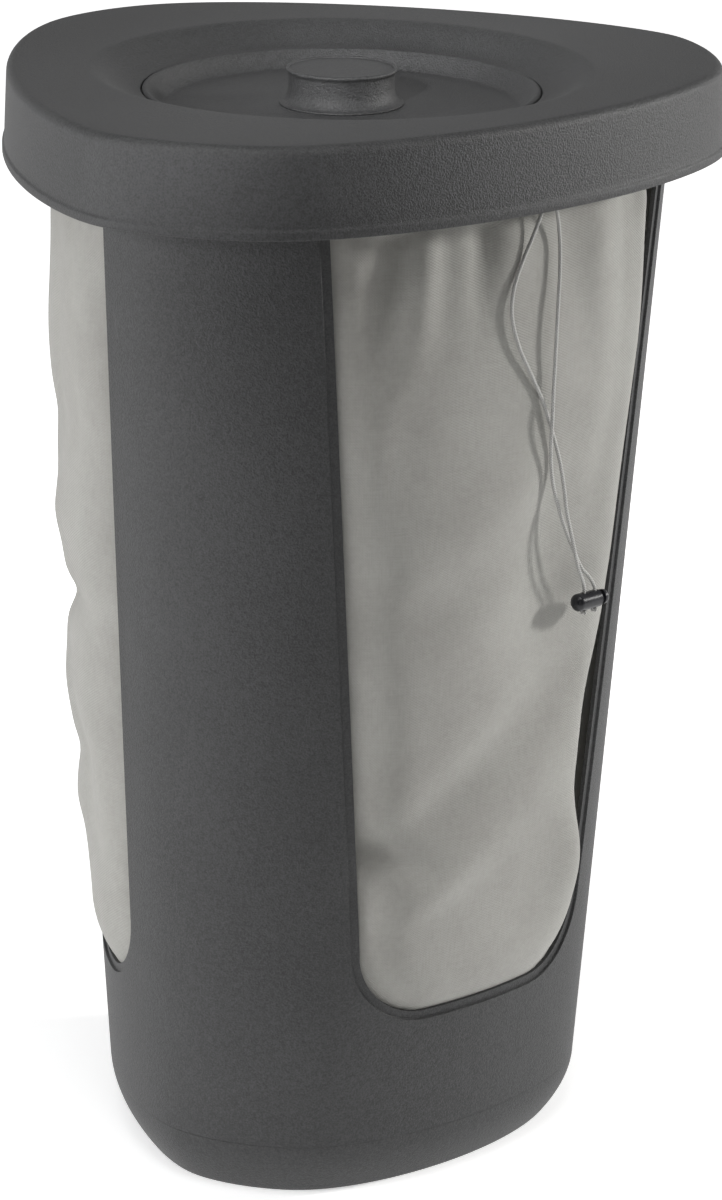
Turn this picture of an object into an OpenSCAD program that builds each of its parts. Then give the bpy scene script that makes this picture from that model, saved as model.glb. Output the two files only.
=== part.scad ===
// Laundry hamper with lid: an open basket with three windows, a fabric bag hung inside it from
// the top ring, and a two-piece lid. +Z is up, the broad front window faces -Y, and the origin is
// on the floor under the knob's axis. Millimetres.

/* [Overall] */
// Height from the floor to the lid's rim
height = 650; // [600:5:720]

/* [Plan outline] */
// Mean distance from the knob's axis to the lid's edge
plan_mean = 214; // [205:1:225]
// Shift of the outline towards the back
plan_shift = 2.4; // [0:0.1:5]
// Two-lobed term, which makes the plan wider than deep
plan_two = -6.9; // [-9:0.1:-4]
// Three-lobed term, which makes the plan a rounded triangle
plan_three = 18.3; // [14:0.1:19]
// Four-lobed term
plan_four = 1.9; // [0:0.1:2.5]
// Five-lobed term
plan_five = 0.8; // [0:0.1:1.2]
// Six-lobed term, which straightens the sides
plan_six = -2.8; // [-3.2:0.1:0]

/* [Basket] */
// Share of the lid's outline that the basket has at its seam line
basket_low = 0.497; // [0.45:0.001:0.55]
// Share of the lid's outline that the basket has at its rim
basket_high = 0.694; // [0.65:0.001:0.7]
// Width added all round to that share
basket_round = 37.6; // [34:0.1:38]
// Height of the moulding's seam line above the floor
seam_z = 34; // [25:1:45]
// How far the wall curves in from the seam line to the floor
base_inset = 14.7; // [8:0.1:18]
// Wall thickness of the basket
wall = 2.6; // [2:0.1:3]
// Height of the solid ring above the windows
ring_h = 48; // [46:1:60]
// Height of the windows' lower edge
window_z = 113; // [100:1:160]
// Half width of the front window, measured down to the floor
front_half_w = 71.8; // [60:0.1:75]
// Radius of the windows' lower corners
window_r = 45; // [20:1:48]
// How far the ring's lip stands out
lip_w = 7.2; // [6:0.1:8]
// How far the lip turns down
lip_h = 13.6; // [10:0.1:14]

/* [Outer lid] */
// Height of the lid's skirt
skirt_h = 51; // [48:1:56]
// Wall thickness of both lids
lid_wall = 2.5; // [2:0.1:3]
// How far the skirt leans in over its height
skirt_lean = 1.6; // [1:0.1:3]
// Radius of the lid's top edge
edge_r = 4.5; // [3:0.5:6]
// How far the bead at the skirt's foot stands out
bead_out = 1.2; // [0.5:0.1:2]
// Height of that bead
bead_h = 6; // [4:0.5:10]
// Radius where the flat rim ends and the dish begins
dish_r = 147; // [144:1:150]
// Depth from the rim to the opening's edge
dish_drop = 12.6; // [10:0.1:14]
// Radius of the opening's edge
opening_r = 116.4; // [112:0.1:118]
// Depth of the rebate that the inner lid sits in
rebate_h = 3.2; // [2.5:0.1:4]
// Width of that rebate
rebate_w = 3; // [2.5:0.1:3.5]

/* [Inner lid] */
// Gap between the inner lid and the opening, all round
lid_gap = 0.7; // [0.4:0.1:1.2]
// Radius of the inner lid's flat floor
pan_floor_r = 103; // [98:1:106]
// Depth of that floor under the outer lid's rim
pan_depth = 22; // [20:0.5:26]
// Diameter of the hole under the knob for its screw
screw_hole_d = 4.1; // [4.1:0.1:4.3]

/* [Knob] */
// Radius of the knob's lip
knob_r = 32.3; // [28:0.1:36]
// Radius of its waist
knob_waist_r = 30.9; // [26:0.1:32]
// Radius of its foot
knob_foot_r = 36.3; // [33:0.1:40]
// Wall thickness of the knob
knob_wall = 2.4; // [2:0.1:3]
// Depth of the cap under the knob's lip
cap_depth = 0.9; // [0.5:0.1:1.5]

/* [Bag] */
// Thickness of the bag's fabric
fabric = 1; // [0.8:0.1:1.2]
// How far the bag bulges into the front window
front_bulge = 9; // [4:0.5:10]
// How far the bag bulges into the side windows
side_bulge = 12; // [4:0.5:12]
// Diameter of the drawstring
cord_d = 2.2; // [2:0.1:2.4]

/* [Cord lock] */
// Diameter of the cord lock's barrel
lock_d = 10.5; // [10:0.1:12]
// Length of the barrel
lock_l = 20; // [18:0.5:24]
// Distance between the two cord holes
lock_pitch = 8.5; // [8:0.1:9]
// Diameter of the cord holes
lock_hole_d = 3.2; // [3:0.1:3.4]
// Travel of the button
lock_travel = 2.4; // [1.5:0.1:2.5]

/* [Hidden] */

$fn = 96;
anthracite = [0.25, 0.255, 0.26];
cloth = [0.63, 0.63, 0.6];
black = [0.05, 0.05, 0.055];
steel = [0.7, 0.7, 0.72];
sides = 72;                              // points in each ring of a lofted shell
clear = 0.6;                             // room between the bag and what it hangs from
rim_z = height - 4.4;                    // top of the basket's ring
ring_z = rim_z - ring_h;                 // top of the windows
skirt_z = height - skirt_h;              // lower edge of the lid's skirt
opening_z = height - dish_drop;          // top of the opening's edge
rebate_z = opening_z - rebate_h;         // shelf that carries the inner lid
pan_z = height - pan_depth;              // top of the inner lid's floor
floor_top = 5.6;                         // top of the basket's floor
bag_z = floor_top + clear;               // underside of the bag

// ---- plan outline: a support function of the angle t, measured from the back corner ----

function plan_h(t) = plan_mean + plan_shift * cos(t) + plan_two * cos(2 * t)
    + plan_three * cos(3 * t) + plan_four * cos(4 * t) + plan_five * cos(5 * t)
    + plan_six * cos(6 * t);

function plan_dh(t) = -plan_shift * sin(t) - 2 * plan_two * sin(2 * t)
    - 3 * plan_three * sin(3 * t) - 4 * plan_four * sin(4 * t)
    - 5 * plan_five * sin(5 * t) - 6 * plan_six * sin(6 * t);

// Point of the outline scaled by share and moved out by off
function plan_point(t, share, off, z) =
    let (h = share * plan_h(t) + off, d = share * plan_dh(t), a = t + 90)
    [h * cos(a) - d * sin(a), h * sin(a) + d * cos(a), z];

function turn(i) = 360 * i / sides;

function lid_ring(off, z) = [for (i = [0:sides - 1]) plan_point(turn(i), 1, off, z)];

function round_ring(r, z) =
    [for (i = [0:sides - 1]) [r * cos(turn(i) + 90), r * sin(turn(i) + 90), z]];

// Share of the lid's outline that the basket has at height z
function basket_share(z) =
    basket_low + (basket_high - basket_low) * (max(z, seam_z) - seam_z) / (rim_z - seam_z);

function basket_ring(off, z) =
    [for (i = [0:sides - 1]) plan_point(turn(i), basket_share(z), basket_round + off, z)];

// ---- lofted shells ----

function quad_faces(a, b, n) = [
    for (i = [0:n - 1])
    let (j = (i + 1) % n)
    each [[a + i, b + i, b + j], [a + i, b + j, a + j]]
];

// A solid through rings, closed by a flat cap at each end
module loft(rings) {
    n = len(rings[0]);
    last = len(rings) - 1;
    polyhedron(
        points = [for (r = rings) each r],
        faces = [
            [for (i = [0:n - 1]) i],
            [for (i = [0:n - 1]) last * n + n - 1 - i],
            for (k = [0:last - 1]) each quad_faces(k * n, (k + 1) * n, n)
        ],
        convexity = 8
    );
}

// A solid through rings whose last ring joins the first, as in a tyre
module loft_loop(rings) {
    n = len(rings[0]);
    m = len(rings);
    polyhedron(
        points = [for (r = rings) each r],
        faces = [for (k = [0:m - 1]) each quad_faces(k * n, ((k + 1) % m) * n, n)],
        convexity = 8
    );
}

// ---- basket ----

base_steps = 5;

function base_rings(off) = [
    for (s = [0:base_steps - 1])
    let (u = s / base_steps)
    basket_ring(off - base_inset * pow(1 - u, 1.8), seam_z * u)
];

// Rounded outline of a window in width u and height z, open at its top; its left and right edges
// lean by slope with height
function window_outline(left, right, slope_l, slope_r, top) =
    let (zl = window_z + window_r, r = window_r, steps = 8)
    concat(
        [[left - slope_l * top, top]],
        [for (i = [0:steps])
            let (a = 180 + 90 * i / steps)
            [left - slope_l * zl + r + r * cos(a), zl + r * sin(a)]],
        [for (i = [0:steps])
            let (a = 270 + 90 * i / steps)
            [right + slope_r * zl - r + r * cos(a), zl + r * sin(a)]],
        [[right + slope_r * top, top]]
    );

edge_slope = 0.0935;                     // outward lean of the front window's edges
side_near = 54.8;                        // side window's edge next to the front pillar, at the floor
side_near_slope = 0.0826;
side_far = -34.5;                        // side window's edge next to the back panel, at the floor
side_far_slope = 0.018;
side_turn = 60;                          // direction of a side window, from the back corner

module window_cut(left, right, slope_l, slope_r) {
    rotate([90, 0, 0])
        linear_extrude(height = 160)
            polygon(window_outline(left, right, slope_l, slope_r, ring_z));
}

module windows() {
    translate([0, -60, 0])
        window_cut(-front_half_w, front_half_w, edge_slope, edge_slope);
    rotate([0, 0, side_turn - 180])
        translate([0, -60, 0])
            window_cut(side_far, side_near, side_far_slope, side_near_slope);
    rotate([0, 0, 180 - side_turn])
        translate([0, -60, 0])
            window_cut(-side_near, -side_far, side_near_slope, side_far_slope);
}

module body_shell() {
    lip_z = rim_z - lip_h;
    color(anthracite)
        difference() {
            loft(concat(
                base_rings(0),
                [
                    basket_ring(0, seam_z),
                    basket_ring(0, rim_z - wall),
                    basket_ring(lip_w - wall, rim_z - wall),
                    basket_ring(lip_w - wall, lip_z),
                    basket_ring(lip_w, lip_z),
                    basket_ring(lip_w, rim_z - 2),
                    basket_ring(lip_w - 2, rim_z),
                    basket_ring(-1, rim_z),
                    basket_ring(-wall, rim_z - 1.6),
                    basket_ring(-wall, seam_z)
                ],
                [for (s = [base_steps - 1:-1:1])
                    let (u = s / base_steps)
                    basket_ring(-wall - base_inset * pow(1 - u, 1.8), seam_z * u)],
                [basket_ring(-wall - base_inset * pow(1 - floor_top / seam_z, 1.8), floor_top)]
            ));
            windows();
        }
}

// ---- outer lid ----

module outer_lid() {
    top_off = -bead_out - skirt_lean;
    rib_z = height - 26;
    arc = [for (a = [0:22.5:90]) [top_off - edge_r * (1 - cos(a)), height - edge_r * (1 - sin(a))]];
    color(anthracite) {
        loft_loop(concat(
            [
                lid_ring(-lid_wall, skirt_z),
                lid_ring(-0.6, skirt_z),
                lid_ring(0, skirt_z + 1.2),
                lid_ring(0, skirt_z + bead_h - 1.5),
                lid_ring(-bead_out, skirt_z + bead_h)
            ],
            [for (p = arc) lid_ring(p[0], p[1])],
            [
                round_ring(dish_r - 4, height),
                round_ring(dish_r - 4, height - lid_wall),
                lid_ring(top_off - edge_r, height - lid_wall),
                lid_ring(top_off - lid_wall, height - edge_r - 0.5)
            ]
        ));
        locating_rib(rib_z);
        dish();
    }
}

// Ribs that stand inside the bag's mouth and keep the lid in place
module locating_rib(rib_z) {
    rib_in = wall + clear + fabric + 3;
    top = height - lid_wall + 1;
    loft_loop([
        basket_ring(-rib_in - 2, rib_z),
        basket_ring(-rib_in, rib_z),
        basket_ring(-rib_in, top),
        basket_ring(-rib_in - 2, top)
    ]);
}

function dish_z(r) =
    let (u = (dish_r - r) / (dish_r - opening_r))
    height - dish_drop * (1 - cos(180 * pow(u, 0.86))) / 2;

// The round dish, the opening and its rebate
module dish() {
    steps = 12;
    slope = [for (i = [0:steps])
        let (r = dish_r - (dish_r - opening_r) * i / steps)
        [r, dish_z(r)]];
    under = [for (i = [steps:-1:0]) [slope[i][0] + 0.6, slope[i][1] - lid_wall]];
    shelf_r = opening_r - rebate_w;
    rotate_extrude()
        polygon(concat(
            [[dish_r + 3, height]],
            slope,
            [
                [opening_r, rebate_z],
                [shelf_r, rebate_z],
                [shelf_r, rebate_z - 2.2],
                [opening_r + 2.2, rebate_z - 2.2]
            ],
            [for (p = under) if (p[0] > opening_r + 2.3) p],
            [[dish_r + 3, height - lid_wall]]
        ));
}

// ---- inner lid and knob ----

edge_out = opening_r - lid_gap;          // inner lid's outer radius
bead_top = opening_z + 0.7;              // top of its rolled edge

// The pan's inner slope from the rolled edge to the flat floor
function pan_slope(n) = [for (i = [0:n])
    let (u = i / n, r = edge_out - 3 + (pan_floor_r - edge_out + 3) * u)
    [r, pan_z + (opening_z - 0.6 - pan_z) * pow(1 - u, 1.25)]];

module inner_lid() {
    steps = 8;
    base_z = pan_z - lid_wall;
    boss_z = pan_z - 14;
    rest_z = rebate_z + 0.3;
    inside = pan_slope(steps);
    bead = [for (a = [-30:30:180])
        [edge_out - 1.4 + 1.4 * cos(a), bead_top - 1.4 + 1.4 * sin(a)]];
    slope_in = opening_r - rebate_w - lid_gap;
    color(anthracite)
        difference() {
            union() {
                rotate_extrude()
                    polygon(concat(
                        [[0, pan_z]],
                        [for (i = [steps:-1:0]) inside[i]],
                        [for (i = [len(bead) - 1:-1:0]) bead[i]],
                        [
                            [edge_out - 0.2, rest_z],
                            [slope_in, rest_z],
                            [pan_floor_r + 1.5, base_z],
                            [0, base_z]
                        ]
                    ));
                translate([0, 0, boss_z])
                    cylinder(h = pan_z - boss_z - 0.5, r = 5.5);
                translate([0, 0, pan_z - 0.2])
                    cylinder(h = 0.6, r = knob_foot_r + 1.6);
            }
            translate([0, 0, boss_z + 1.5])
                cylinder(h = 20, d = screw_hole_d);
        }
}

knob_z = pan_z + 0.4 + 0.02;             // underside of the knob's foot
knob_floor = 3;                          // thickness of the knob's floor

module lid_knob() {
    flare = [for (a = [0:15:90])
        [knob_foot_r - (knob_foot_r - knob_waist_r) * sin(a),
            knob_z + 1.2 + 9 * (1 - cos(a))]];
    lip = [for (a = [-90:30:90])
        [knob_r - 1.1 + 1.1 * cos(a), height - 1.1 + 1.1 * sin(a)]];
    bore_r = knob_waist_r - knob_wall;
    cap_z = height - cap_depth;
    color(anthracite)
        difference() {
            rotate_extrude()
                polygon(concat(
                    [[0, knob_z], [knob_foot_r, knob_z]],
                    flare,
                    lip,
                    [
                        [knob_r - 2.2, height],
                        [knob_r - 2.2, cap_z - 1.8],
                        [bore_r, cap_z - 1.8],
                        [bore_r, knob_z + knob_floor],
                        [0, knob_z + knob_floor]
                    ]
                ));
            translate([0, 0, knob_z - 1])
                cylinder(h = knob_floor + 2, d = screw_hole_d + 0.5);
        }
}

module knob_cap() {
    cap_r = knob_r - 2.2 - 0.05;
    cap_z = height - cap_depth;
    color(anthracite)
        rotate_extrude()
            polygon([
                [0, cap_z - 1.7],
                [cap_r, cap_z - 1.7],
                [cap_r, cap_z - 0.3],
                [cap_r - 0.3, cap_z],
                [0, cap_z]
            ]);
}

module knob_screw() {
    seat = knob_z + knob_floor + 0.02;
    shank_d = screw_hole_d - 0.1;
    color(steel)
        difference() {
            union() {
                translate([0, 0, seat])
                    cylinder(h = 2.6, r = 4.2);
                translate([0, 0, seat - 14])
                    cylinder(h = 14.5, d = shank_d);
            }
            for (a = [0, 90])
                rotate([0, 0, a])
                    translate([-2.4, -0.5, seat + 1.2])
                        cube([4.8, 1, 2]);
        }
}

// ---- bag ----

bag_in = -wall - clear - fabric / 2;     // the fabric's own middle line, inside the wall
bulge_in = 14;                           // distance from a window's edge to where a bulge starts

function smooth(x) = let (u = min(max(x, 0), 1)) u * u * (3 - 2 * u);

// How high on the window a bulge is, from 0 at its edges to 1
function tall(z) = smooth((ring_z - z) / 80) * smooth((z - window_z - 20) / 90);

// Bulge over a window from left to right, for a point at width u
function bulge(u, left, right, z) =
    let (s = (2 * u - left - right) / (right - left))
    abs(s) >= 1 ? 0 : (1 - pow(s, 4)) * tall(z);

function window_bulge(p) =
    let (
        x = p[0],
        y = p[1],
        z = p[2],
        fw = front_half_w + edge_slope * z,
        near = side_near + side_near_slope * z,
        far = side_far - side_far_slope * z,
        u = abs(x) * cos(side_turn) - y * sin(side_turn),
        out = abs(x) * sin(side_turn) + y * cos(side_turn),
        front = y < 0 ? front_bulge * bulge(x, bulge_in - fw, fw - bulge_in, z) : 0,
        side = out > 0 ? side_bulge * bulge(u, far + bulge_in, near - bulge_in, z) : 0
    )
    max(front, side);

function bag_point(t, off, z) =
    let (
        share = basket_share(z),
        inset = z < seam_z ? base_inset * pow(1 - z / seam_z, 1.8) : 0,
        p = plan_point(t, share, basket_round + off - inset, z),
        w = off < 0 ? window_bulge(p) : 0
    )
    w == 0 ? p : plan_point(t, share, basket_round + off + w - inset, z);

function bag_ring(off, z) = [for (i = [0:sides - 1]) bag_point(turn(i), off, z)];

hem_off = 4.4;                           // middle of the hem channel, out from the basket's wall
hem_z = rim_z - 31;                      // height of the middle of the hem channel
hem_half_w = 2.6;
hem_half_h = 8;

// Heights of the bag's rings inside the basket
bag_levels = [20, 34, 70, 113, 140, 175, 230, 300, 380, 450, 510, 550, 575, 597];

module bag_wall() {
    half = fabric / 2;
    out = bag_in + half;
    inn = bag_in - half;
    over = lip_w + clear;
    top = rim_z + clear;
    join_z = hem_z + hem_half_h + 0.1;
    color(cloth)
        loft_loop(concat(
            [bag_ring(out - 1, bag_z + fabric + 0.1)],
            [for (z = bag_levels) bag_ring(out, z)],
            [
                bag_ring(out, rim_z - 1),
                bag_ring(-0.6, top),
                basket_ring(over - 2, top),
                basket_ring(over, top - 2),
                basket_ring(over, rim_z - lip_h - 1),
                basket_ring(hem_off - half, join_z),
                basket_ring(hem_off + half, join_z),
                basket_ring(over + fabric, rim_z - lip_h - 1.4),
                basket_ring(over + fabric, top - 1.6),
                basket_ring(over - 1.6, top + fabric),
                bag_ring(-1, top + fabric),
                bag_ring(inn, rim_z - 0.6)
            ],
            [for (i = [len(bag_levels) - 1:-1:0]) bag_ring(inn, bag_levels[i])],
            [bag_ring(inn - 1, bag_z + fabric + 0.1)]
        ));
}

module bag_bottom() {
    color(cloth)
        loft([
            bag_ring(bag_in - 0.4, bag_z),
            bag_ring(bag_in - 0.4, bag_z + fabric)
        ]);
}

// Rings of a closed channel that follows the basket's outline: a rounded upright section
function channel_rings(half_w, half_h, n) = [
    for (k = [0:n - 1])
    let (a = 360 * k / n)
    basket_ring_at(hem_off + half_w * sin(a), hem_z - half_h * cos(a))
];

// The share is the one at the hem, so that the channel keeps one section all round
function basket_ring_at(off, z) =
    [for (i = [0:sides - 1]) plan_point(turn(i), basket_share(hem_z), basket_round + off, z)];

slit_x = [2.5, 11];                      // where the two strands leave the hem
exit_y = -168.3;

module bag_hem() {
    color(cloth)
        difference() {
            loft_loop(channel_rings(hem_half_w, hem_half_h, 10));
            loft_loop(channel_rings(hem_half_w - 0.9, hem_half_h - 1.2, 10));
            for (x = slit_x)
                translate([x, exit_y, hem_z - hem_half_h - 2])
                    cylinder(h = 9, d = cord_d + 0.6);
        }
}

// ---- drawstring ----

// Points of a tube's ring round p, across the direction d
function tube_ring(p, d, r, n) =
    let (
        side = cross(d, [0.31, 0.95, 0.05]),
        a = side / norm(side),
        b = cross(d, a) / norm(cross(d, a))
    )
    [for (k = [0:n - 1])
        let (w = 360 * k / n)
        p + r * cos(w) * a + r * sin(w) * b];

function direction(path, i) =
    let (
        last = len(path) - 1,
        d = path[min(i + 1, last)] - path[max(i - 1, 0)]
    )
    d / norm(d);

module tube(path, d, n) {
    loft([for (i = [0:len(path) - 1]) tube_ring(path[i], direction(path, i), d / 2, n)]);
}

// A smooth curve through points, steps to a span
function spline_at(a, b, c, d, u) =
    0.5 * (2 * b + (c - a) * u + (2 * a - 5 * b + 4 * c - d) * u * u
        + (3 * b - a - 3 * c + d) * u * u * u);

function smooth_path(p, steps) =
    let (last = len(p) - 1)
    concat(
        [for (i = [0:last - 1])
            for (k = [0:steps - 1])
            spline_at(p[max(i - 1, 0)], p[i], p[i + 1], p[min(i + 2, last)], k / steps)],
        [p[last]]
    );

// Route of the strand from the left slit to the cord lock's left hole
left_route = [
    [2.5, -168.3, 613.2], [2.5, -168.3, 605], [2, -167.8, 597], [-3, -166.4, 583], [-11, -165.4, 567],
    [-17, -165.6, 553], [-19, -166.4, 538], [-14, -167.2, 520], [-4, -167.2, 502],
    [6, -166, 486], [14, -164.4, 471], [20, -163.6, 457], [25, -163.2, 443],
    [29, -162.8, 428], [32, -162.4, 413], [36, -162.2, 400], [40, -161.6, 388],
    [45, -160, 376], [50.5, -158.2, 367], [53.2, -157.2, 360.5], [53.5, -157, 355], [53.5, -157, 348.4]
];

// Route of the strand from the right slit to the cord lock's right hole
right_route = [
    [11, -168.3, 613.2], [11, -168.3, 605], [12, -167.6, 597], [16, -166, 585], [18, -165.6, 571],
    [17.5, -166.4, 555], [15.5, -167.8, 539], [14, -168.8, 523], [13, -169.2, 506],
    [12.5, -169, 489], [13, -168.2, 472], [14.5, -166, 456], [18, -163.2, 441],
    [23, -161, 427], [29, -159.2, 414], [36, -157.8, 400], [44, -156.8, 386],
    [51, -156.4, 374], [57.5, -156.6, 367], [61.4, -157, 360.5], [62, -157, 355], [62, -157, 348.4]
];

lock_centre = [58, -157, 353];

module drawstring_hem() {
    color(cloth)
        loft_loop(channel_rings(cord_d / 2, cord_d / 2, 8));
}

module drawstring_left() {
    color(cloth)
        tube(smooth_path(left_route, 2), cord_d, 8);
}

module drawstring_right() {
    color(cloth)
        tube(smooth_path(right_route, 2), cord_d, 8);
}

// ---- cord lock: its axis lies along X, and the strands run down through it ----

hole_x = [lock_centre[0] - lock_pitch / 2 - 0.25, lock_centre[0] + lock_pitch / 2 - 0.25];
bore_d = 6.4;
stem_d = bore_d - 0.2;
barrel_left = -lock_l / 2 - 3;           // ends of the barrel, from the lock's centre
barrel_right = lock_l / 2 - 3;

module along_x() {
    translate(lock_centre)
        rotate([0, 90, 0])
            children();
}

module cord_holes(d, extra) {
    for (x = hole_x)
        for (shift = extra)
            translate([x + shift, lock_centre[1], lock_centre[2] - 10])
                cylinder(h = 20, d = d);
}

module cord_lock_body() {
    r = lock_d / 2;
    end_l = 4;
    color(black)
        difference() {
            along_x()
                rotate_extrude()
                    polygon(concat(
                        [[0, barrel_left]],
                        [for (a = [15:15:90])
                            [r * sin(a), barrel_left + end_l - end_l * cos(a)]],
                        [[r, barrel_right - 1], [r - 1, barrel_right], [0, barrel_right]]
                    ));
            along_x()
                translate([0, 0, barrel_left + 2])
                    cylinder(h = lock_l, d = bore_d);
            cord_holes(lock_hole_d, [0]);
        }
}

module cord_lock_plunger() {
    tip = barrel_right + lock_travel + 0.1;
    color(black)
        difference() {
            union() {
                along_x()
                    translate([0, 0, barrel_left + 6.2])
                        cylinder(h = tip - barrel_left - 6, d = stem_d);
                along_x()
                    rotate_extrude()
                        polygon(concat(
                            [[0, tip], [4.4, tip]],
                            [for (a = [0:15:75]) [4.4 * cos(a), tip + 1 + 3 * sin(a)]],
                            [[0, tip + 4]]
                        ));
            }
            cord_holes(lock_hole_d, [0, 0.8, 1.6, lock_travel]);
        }
}

module cord_lock_spring() {
    turns = 4;
    wire = 0.6;
    r = 2.3;
    start = barrel_left + 2.4;
    length = 3.4;
    steps = 10;
    coil = [for (i = [0:turns * steps])
        let (a = 360 * i / steps)
        lock_centre + [start + length * i / (turns * steps), r * cos(a), r * sin(a)]];
    color(steel)
        tube(coil, wire, 6);
}

// The knots sit under the barrel, and the strands end in them
module cord_knots() {
    color(cloth)
        for (x = hole_x)
            translate([x, lock_centre[1], lock_centre[2] - lock_d / 2 - 1.4])
                sphere(d = lock_hole_d + 0.8, $fn = 24);
}

body_shell();
outer_lid();
inner_lid();
lid_knob();
knob_cap();
knob_screw();
bag_wall();
bag_bottom();
bag_hem();
drawstring_hem();
drawstring_left();
drawstring_right();
cord_knots();
cord_lock_body();
cord_lock_plunger();
cord_lock_spring();
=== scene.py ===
import bpy
import bmesh
import numpy as np
from mathutils import Matrix, Vector


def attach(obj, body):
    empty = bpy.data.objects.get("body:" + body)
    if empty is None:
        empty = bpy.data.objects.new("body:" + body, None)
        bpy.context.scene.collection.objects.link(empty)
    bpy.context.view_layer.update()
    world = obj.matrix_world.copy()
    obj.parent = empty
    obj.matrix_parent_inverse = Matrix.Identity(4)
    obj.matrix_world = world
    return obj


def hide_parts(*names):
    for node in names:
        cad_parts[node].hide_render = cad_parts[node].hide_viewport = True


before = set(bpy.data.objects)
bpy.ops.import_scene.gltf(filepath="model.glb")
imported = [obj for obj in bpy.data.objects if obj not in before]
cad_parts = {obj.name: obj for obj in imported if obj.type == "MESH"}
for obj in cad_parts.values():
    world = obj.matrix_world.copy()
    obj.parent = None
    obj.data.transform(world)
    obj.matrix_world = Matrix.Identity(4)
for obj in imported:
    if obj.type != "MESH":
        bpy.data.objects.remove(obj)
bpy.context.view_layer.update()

# Shapes are worked out in millimetres and put into meshes in metres. t goes round the hamper from
# its back corner, anticlockwise seen from above. The broad front window faces -Y.
millimetre = 0.001
weldWithin = 0.003
scene = bpy.context.scene
scene.view_settings.view_transform = "Standard"


view = {"azimuth": -41.7, "elevation": 18.0, "roll": 0.66, "distance": 2.815, "lens": 140.8,
        "shift": (0.0211, 0.0006), "aim": 0.325}


def makeCamera():
    # looks at a point on the hamper's axis from azimuth, elevation and distance, then rolls
    a, e = np.radians(view["azimuth"]), np.radians(view["elevation"])
    back = Vector((np.sin(a) * np.cos(e), -np.cos(a) * np.cos(e), np.sin(e)))
    camera = bpy.data.objects.new("camera", bpy.data.cameras.new("camera"))
    scene.collection.objects.link(camera)
    camera.data.lens = view["lens"]
    camera.data.sensor_width = 36
    camera.data.shift_x, camera.data.shift_y = view["shift"]
    camera.location = Vector((0, 0, view["aim"])) + back * view["distance"]
    aimed = (-back).to_track_quat("-Z", "Y").to_matrix().to_4x4()
    rolled = aimed @ Matrix.Rotation(np.radians(view["roll"]), 4, "Z")
    camera.rotation_euler = rolled.to_euler()
    scene.camera = camera


makeCamera()
print("stage: camera")


def gridFaces(rows, columns, wrapRows=False, wrapColumns=False):
    # one quad between each two neighbouring rows and columns, facing out when the columns run
    # anticlockwise and the rows upwards
    r = np.arange(rows if wrapRows else rows - 1)[:, None]
    c = np.arange(columns if wrapColumns else columns - 1)[None, :]
    below, above = r * columns, (r + 1) % rows * columns
    after = (c + 1) % columns
    return np.stack([below + c, below + after, above + after, above + c], -1).reshape(-1, 4)


def gridUv(u, v):
    # corner coordinates of the same quads, from u along the columns and v up the rows, where a
    # wrapped direction has one more value than the grid has points
    rows, columns = len(v) - 1, len(u) - 1
    r, c = np.meshgrid(np.arange(rows), np.arange(columns), indexing="ij")
    corners = [(c, r), (c + 1, r), (c + 1, r + 1), (c, r + 1)]
    return np.stack([np.stack([u[i], v[j]], -1) for i, j in corners], 2).reshape(-1, 2)


def addPiece(name, parts, body, replaces):
    # parts are (points, faces, uv) of separate grids in millimetres, joined into one smooth mesh
    # and welded where they meet
    starts = np.cumsum([0] + [len(p[0]) for p in parts[:-1]])
    points = np.concatenate([p[0] for p in parts]) * millimetre
    faces = np.concatenate([p[1] + s for p, s in zip(parts, starts)])
    mesh = bpy.data.meshes.new(name)
    mesh.from_pydata(points.tolist(), [], faces.tolist())
    if all(len(p) > 2 for p in parts):
        uv = np.concatenate([p[2] for p in parts])
        mesh.uv_layers.new(name="cloth").data.foreach_set("uv", uv.astype(np.float32).ravel())
    work = bmesh.new()
    work.from_mesh(mesh)
    bmesh.ops.remove_doubles(work, verts=work.verts, dist=weldWithin * millimetre)
    work.to_mesh(mesh)
    work.free()
    mesh.polygons.foreach_set("use_smooth", np.ones(len(mesh.polygons), bool))
    piece = bpy.data.objects.new(name, mesh)
    scene.collection.objects.link(piece)
    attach(piece, body)
    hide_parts(*replaces)
    return piece


def thicken(piece, thickness, offset=-1):
    # offset -1 grows the wall inwards from the surface, 0 to both sides
    solid = piece.modifiers.new("thickness", "SOLIDIFY")
    solid.thickness = thickness * millimetre
    solid.offset = offset


def softenEdges(piece, width, segments, angle):
    bevel = piece.modifiers.new("edges", "BEVEL")
    bevel.width = width * millimetre
    bevel.segments = segments
    bevel.limit_method = "ANGLE"
    bevel.angle_limit = np.radians(angle)
    bevel.harden_normals = True


def revolved(profile, columns=288):
    # the profile's (radius, height) points turned round the axis
    profile = np.array(profile, float)
    t = np.linspace(0, 2 * np.pi, columns, endpoint=False)
    r, z = profile[:, :1], profile[:, 1:]
    points = np.stack([r * np.cos(t), r * np.sin(t), z + 0 * t], -1).reshape(-1, 3)
    return points, gridFaces(len(profile), columns, wrapColumns=True)


def arc(centre, radius, start, end, steps):
    # points of a circular arc in the (radius, height) plane, angles in degrees
    a = np.radians(np.linspace(start, end, steps))
    return [(centre[0] + radius * np.cos(k), centre[1] + radius * np.sin(k)) for k in a]


plan = {"mean": 214.0, "lobes": {1: 2.4, 2: -6.9, 3: 18.3, 4: 1.9, 5: 0.8, 6: -2.8}}
basket = {"low": 0.497, "high": 0.694, "round": 37.6, "seam": 34.0, "inset": 14.7, "rim": 645.6}


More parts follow.
